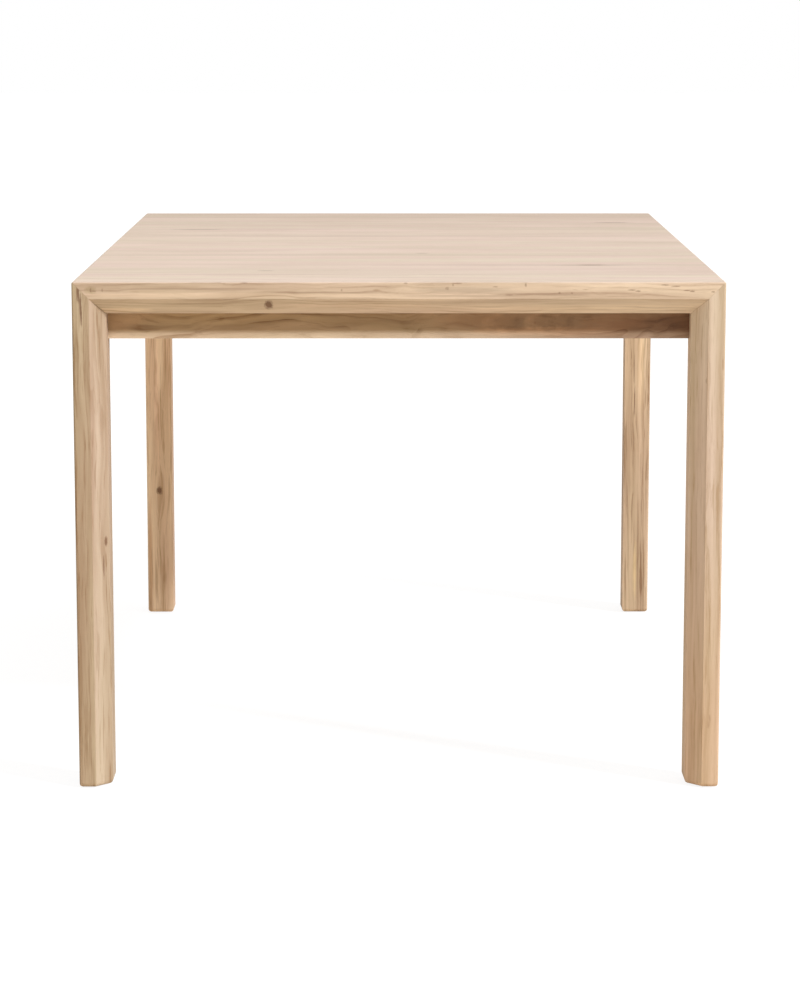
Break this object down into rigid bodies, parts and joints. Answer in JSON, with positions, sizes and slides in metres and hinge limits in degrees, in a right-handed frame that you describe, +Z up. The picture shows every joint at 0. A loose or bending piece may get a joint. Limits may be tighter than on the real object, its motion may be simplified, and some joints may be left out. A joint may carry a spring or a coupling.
{
  "type": "extending dining table",
  "caption": "Oak dining table with mitred, chamfered end frames; the top parts at its middle, runs out on channels and stores a spare leaf beneath.",
  "frame": {"origin": "on the floor under the middle of the closed table", "axes": "+X across the table, +Y along its length from the front end to the back end, +Z up"},
  "size_m": [0.95, 1.4, 0.755],
  "materials": {
    "oak": "matte oiled oak",
    "oak_apron": "matte oiled oak, darker boards",
    "beech": "sanded beech",
    "aluminium": "anodised satin",
    "steel": "zinc plated",
    "brass": "turned brass",
    "nylon": "matte natural nylon",
    "black_nylon": "matte black nylon",
    "felt": "wool felt"
  },
  "bodies": {
    "carriage": {"back_cross_bar": "beech", "carriage_screws": "steel", "equaliser_plate": "steel", "front_cross_bar": "beech", "leaf": "oak", "leaf_bushes": "brass", "leaf_keepers": "beech", "leaf_pads": "felt", "leaf_pins": "beech", "left_runner": "aluminium", "middle_cross_bar": "beech", "pinion_axle": "steel", "right_runner": "aluminium", "runner_pads": "nylon"},
    "front_half": {"front_corner_blocks": "beech", "front_end_apron": "oak_apron", "front_end_rail": "oak", "front_foot_glides": "black_nylon", "front_left_apron": "oak_apron", "front_left_channel": "aluminium", "front_left_leg": "oak", "front_leg_bolts": "steel", "front_mitre_tenons": "beech", "front_rack": "nylon", "front_rack_spacer": "beech", "front_right_apron": "oak_apron", "front_right_channel": "aluminium", "front_right_leg": "oak", "front_screws": "steel", "front_top_board": "oak", "front_top_clips": "steel", "front_travel_stops": "beech", "lock_pivots": "steel", "seam_pins": "beech"},
    "back_half": {"back_corner_blocks": "beech", "back_end_apron": "oak_apron", "back_end_rail": "oak", "back_foot_glides": "black_nylon", "back_left_apron": "oak_apron", "back_left_channel": "aluminium", "back_left_leg": "oak", "back_leg_bolts": "steel", "back_mitre_tenons": "beech", "back_rack": "nylon", "back_rack_spacer": "beech", "back_right_apron": "oak_apron", "back_right_channel": "aluminium", "back_right_leg": "oak", "back_screws": "steel", "back_top_board": "oak", "back_top_clips": "steel", "back_travel_stops": "beech", "lock_strikes": "steel", "seam_bushes": "brass"},
    "equaliser_pinion": {"equaliser_pinion": "nylon"},
    "left_lock": {"left_lock_knob": "black_nylon", "left_lock_lever": "steel"},
    "right_lock": {"right_lock_knob": "black_nylon", "right_lock_lever": "steel"}
  },
  "joints": [
    {"name": "front_slide", "type": "slide", "parent": "carriage", "child": "front_half", "axis": [0, -1, 0], "range_m": [0, 0.254]},
    {"name": "back_slide", "type": "slide", "parent": "carriage", "child": "back_half", "axis": [0, 1, 0], "range_m": [0, 0.254]},
    {"name": "pinion_spin", "type": "hinge", "parent": "carriage", "child": "equaliser_pinion", "pos_m": [-0.345, 0, 0.705], "axis": [0, 0, -1], "range_deg": [0, 812]},
    {"name": "left_lock_turn", "type": "hinge", "parent": "front_half", "child": "left_lock", "pos_m": [-0.281, -0.02215, 0.725], "axis": [0, 0, 1], "range_deg": [0, 90]},
    {"name": "right_lock_turn", "type": "hinge", "parent": "front_half", "child": "right_lock", "pos_m": [0.281, -0.02215, 0.725], "axis": [0, 0, -1], "range_deg": [0, 90]}
  ],
  "couplings": [
    {"joint": "back_slide", "follows": "front_slide", "ratio": 1},
    {"joint": "pinion_spin", "follows": "front_slide", "rad_per_m": 55.556}
  ]
}
